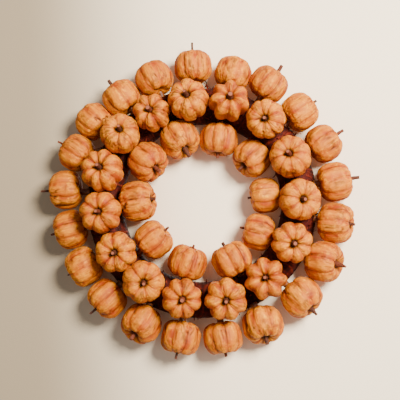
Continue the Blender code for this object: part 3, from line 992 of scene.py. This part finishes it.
def woundTree():
    tree, given = newTree("woundPaper", {
        "Geometry": None, "Height": 0.0, "Middle": 0.173, "Turns": 34.0,
    })
    place = positionOf(tree)
    x, y, z = parts(tree, place)
    up = z - given["Height"]
    turn = x.calc("ARCTAN2", up) / (2 * math.pi)
    away = (x * x + up * up).calc("SQRT") - given["Middle"]
    roll = (-1.0 * y - wound["axisDepth"]).calc("ARCTAN2", away) / (2 * math.pi)
    wander = noise(tree, place, 16.0, detail=2.0, rough=0.5, seed=1.0) - 0.5
    phase = (turn * given["Turns"] + roll + wander * wound["wander"]).calc("FRACT")
    lip = 1.0 - phase.ramp(0.0, wound["lipShare"])
    seam = phase.ramp(1.0 - wound["seamShare"], 1.0)
    wrinkleSpread = noise(tree, place, 85.0, detail=3.0, rough=0.6, seed=2.0, distortion=1.2)
    wrinkle = lines(wrinkleSpread, sharpness=7.0)
    crumple = noise(tree, place, 150.0, detail=4.0, rough=0.6, seed=3.0, distortion=0.6) - 0.5
    lift = (1.0 - phase) * wound["lift"] + lip * wound["lip"] - seam * wound["seamDip"]
    lift = lift - wrinkle * wound["wrinkle"] + crumple * wound["crumple"]
    offset = lift * stored(tree, "skin") * millimetre
    made = store(tree, given["Geometry"], "edge", lip * (1.0 - lip) * 4.0)
    # The crease attribute marks the wrinkles and the seam under the next turn's lip, darkened as
    # painted shade.
    made = store(tree, made, "crease", (wrinkle * 0.6 + seam).calc("MINIMUM", 1.0))
    offset = move(tree, "SCALE", normalOf(tree), scale=offset)
    made = setPoints(tree, made, "Offset", offset)
    flush = vector(tree, x, y.calc("MINIMUM", -wound["backGap"]), z)
    made = setPoints(tree, made, "Position", flush)
    closeTree(tree, made, materials["ring"])
    return tree


wrapValues = {"Height": centreHeight, "Middle": ring["middle"], "Turns": wound["turns"]}
wrap = grow("woundPaper", woundTree(), wrapValues, woundBase())
finished(wrap, "brown_paper", "paper_wrap")
print("ring wrapped")


# Torn shreds of paper that stand off the ring

shreds = {
    "density": 4200.0,
    "length": 9.0 * millimetre,
    "width": 1.9 * millimetre,
    "thickness": 0.12 * millimetre,
    "curl": 0.45,
    "ragged": 0.7,
    "leastTurn": (-0.5, -0.45, 0.0),
    "mostTurn": (0.5, 0.15, 6.283),
    "leastSize": (0.4, 0.5, 0.4),
    "mostSize": (1.3, 1.7, 1.4),
}


def shredTree():
    tree, given = newTree("paperShreds", {
        "Geometry": None, "Density": 4000.0,
        "Length": 0.009, "Width": 0.0019, "Thickness": 0.00012,
    })
    facing = Num(tree, move(tree, "DOT_PRODUCT", normalOf(tree), (0.0, -1.0, 0.0)))
    outside = stored(tree, "skin").calc("GREATER_THAN", 0.5)
    scattered = put(tree, "GeometryNodeDistributePointsOnFaces", {
        "Mesh": given["Geometry"], "Density": given["Density"], "Seed": 4,
        "Selection": facing.calc("GREATER_THAN", 0.1) * outside,
    })
    grid = put(tree, "GeometryNodeMeshGrid", {
        "Size X": given["Length"], "Size Y": given["Width"], "Vertices X": 10, "Vertices Y": 3,
    })
    place = positionOf(tree)
    x, y, _ = parts(tree, place)
    share = x / given["Length"] + 0.5
    ragged = 1.0 - share.calc("POWER", 3.0) * shreds["ragged"]
    lifted = share * share * given["Length"] * shreds["curl"]
    curled = vector(tree, x + given["Length"] * 0.5, y * ragged, lifted)
    thick = put(tree, "GeometryNodeExtrudeMesh", {
        "Mesh": setPoints(tree, grid.outputs[0], "Position", curled),
        "Offset Scale": given["Thickness"], "Individual": False,
    }, mode="FACES")
    turned = put(tree, "FunctionNodeAlignRotationToVector", {
        "Rotation": scattered.outputs["Rotation"], "Vector": scattered.outputs["Normal"],
    }, axis="Z")
    spin = put(tree, "FunctionNodeRandomValue", {
        "Min": shreds["leastTurn"], "Max": shreds["mostTurn"], "Seed": 2,
    }, data_type="FLOAT_VECTOR")
    local = put(tree, "FunctionNodeEulerToRotation", {0: spin.outputs[0]})
    rotated = put(tree, "FunctionNodeRotateRotation", {
        "Rotation": turned.outputs[0], "Rotate By": local.outputs[0],
    }, rotation_space="LOCAL")
    size = put(tree, "FunctionNodeRandomValue", {
        "Min": shreds["leastSize"], "Max": shreds["mostSize"], "Seed": 3,
    }, data_type="FLOAT_VECTOR")
    copies = put(tree, "GeometryNodeInstanceOnPoints", {
        "Points": scattered.outputs["Points"], "Instance": thick.outputs["Mesh"],
        "Rotation": rotated.outputs[0], "Scale": size.outputs[0],
    })
    real = put(tree, "GeometryNodeRealizeInstances", {0: copies.outputs[0]}).outputs[0]
    pale = noise(tree, place, 90.0, detail=1.0, rough=0.5, seed=5.0).ramp(0.45, 0.6)
    dark = noise(tree, place, 120.0, detail=1.0, rough=0.5, seed=6.0).ramp(0.5, 0.7)
    made = store(tree, real, "edge", pale)
    made = store(tree, made, "crease", dark * 0.6)
    closeTree(tree, made, materials["ring"])
    return tree


shredValues = {
    "Density": shreds["density"], "Length": shreds["length"],
    "Width": shreds["width"], "Thickness": shreds["thickness"],
}
finished(grow("paperShreds", shredTree(), shredValues, wrap.data.copy()), "brown_paper")
print("shreds made")


# Hanger

wireLow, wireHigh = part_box("hanger_wire")
hanger = {
    "thickness": wireHigh.y - wireLow.y,
    "spacing": 5.0 * millimetre,
    "steps": 40,
    "points": 220,
    "around": 16,
    "dents": 0.12 * millimetre,
}


def wireLine():
    radius = hanger["thickness"] / 2
    eye = (wireHigh.x - wireLow.x) / 2 - radius
    depth = (wireHigh.y + wireLow.y) / 2
    middle = wireHigh.z - eye - radius
    half = hanger["spacing"] / 2
    opening = math.asin(half / eye)
    sweep = 2 * (math.pi - opening)
    steps = hanger["steps"]
    turns = [math.pi + opening + sweep * i / steps for i in range(steps + 1)]
    loop = [(eye * math.sin(a), depth, middle + eye * math.cos(a)) for a in turns]
    leg = [(side * half, depth, wireLow.z) for side in (-1, 1)]
    curve = bpy.data.curves.new("wireLine", "CURVE")
    curve.dimensions = "3D"
    spline = curve.splines.new("POLY")
    points = [leg[0], *loop, leg[1]]
    spline.points.add(len(points) - 1)
    for point, spot in zip(spline.points, points):
        point.co = (*spot, 1)
    return curve


def wireTree():
    tree, given = newTree("bentWire", {"Geometry": None, "Radius": 0.0008})
    line = {"Curve": given["Geometry"], "Count": hanger["points"]}
    even = put(tree, "GeometryNodeResampleCurve", line)
    size = {"Resolution": hanger["around"], "Radius": given["Radius"]}
    circle = put(tree, "GeometryNodeCurvePrimitiveCircle", size)
    tube = put(tree, "GeometryNodeCurveToMesh", {
        "Curve": even.outputs[0], "Profile Curve": circle.outputs[0], "Fill Caps": True,
    }).outputs[0]
    dents = noise(tree, positionOf(tree), 300.0, detail=2.0, rough=0.5, seed=1.0) - 0.5
    offset = move(tree, "SCALE", normalOf(tree), scale=dents * hanger["dents"])
    made = setPoints(tree, tube, "Offset", offset)
    closeTree(tree, made, materials["wire"])
    return tree


wireValues = {"Radius": hanger["thickness"] / 2}
finished(grow("hangerWire", wireTree(), wireValues, wireLine()), "brown_wire", "hanger_wire")

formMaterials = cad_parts["wreath_form"].data.materials
formMaterials.clear()
formMaterials.append(materials["foam"])
print("hanger and form ready")


# Wall and lights

room = {
    "wallHalf": 3.0,
    "wallBehind": 0.6 * millimetre,
    "air": (1.0, 0.97, 0.93, 1),
    "airStrength": 0.42,
    "lights": {
        "key": {
            "from": (0.95, -1.75, 0.6), "size": 0.75, "power": 160, "colour": (1.0, 0.93, 0.8),
        },
        "fill": {
            "from": (-1.4, -2.6, -0.2), "size": 2.4, "power": 9, "colour": (0.97, 0.98, 1.0),
        },
        "rear": {
            "from": (0.4, 2.8, 0.8), "size": 2.0, "power": 45, "colour": (1.0, 0.96, 0.9),
        },
    },
}
corners = [(-1, -1), (1, -1), (1, 1), (-1, 1)]
corners = [(x * room["wallHalf"], room["wallBehind"], z * room["wallHalf"]) for x, z in corners]
wallData = bpy.data.meshes.new("wall")
wallData.from_pydata(corners, [], [(0, 1, 2, 3)])
wallData.materials.append(materials["wall"])
wall = bpy.data.objects.new("wall", wallData)
wall.visible_shadow = False
bpy.context.scene.collection.objects.link(wall)


def areaLight(name, spec):
    data = bpy.data.lights.new(name, "AREA")
    data.shape = "DISK"
    data.size = spec["size"]
    data.energy = spec["power"]
    data.color = spec["colour"]
    centre = Vector((0, 0, centreHeight))
    aimed(bpy.data.objects.new(name, data), centre + Vector(spec["from"]), centre)


for name, spec in room["lights"].items():
    areaLight(name, spec)

world = bpy.data.worlds.new("room")
world.use_nodes = True
background = world.node_tree.nodes["Background"]
background.inputs["Color"].default_value = room["air"]
background.inputs["Strength"].default_value = room["airStrength"]
bpy.context.scene.world = world

print("scene ready")
